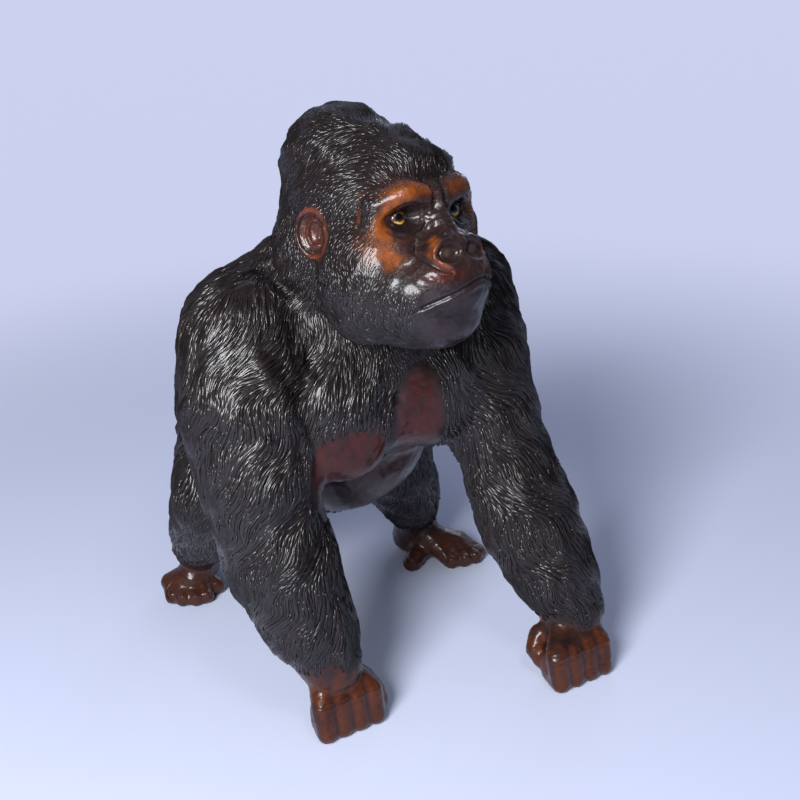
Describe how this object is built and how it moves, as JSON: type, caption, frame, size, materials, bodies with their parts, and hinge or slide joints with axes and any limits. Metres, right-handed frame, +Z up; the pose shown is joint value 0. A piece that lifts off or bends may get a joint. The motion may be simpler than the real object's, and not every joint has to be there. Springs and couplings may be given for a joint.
{
  "type": "gorilla figurine",
  "caption": "Carved wooden gorilla standing on its knuckles and feet, head turned a little to its left, with inset glass eyes.",
  "frame": {"origin": "middle of the bounding box, at the level of the knuckles and soles", "axes": "+Z up, -Y the way the body faces, +X towards the gorilla's own left side"},
  "size_m": [0.3746, 0.4438, 0.5538],
  "materials": {
    "dark_wood": "gloss",
    "amber_glass": "gloss"
  },
  "bodies": {
    "root": {"gorilla_carving": "dark_wood", "right_eye": "amber_glass", "left_eye": "amber_glass"}
  },
  "joints": []
}
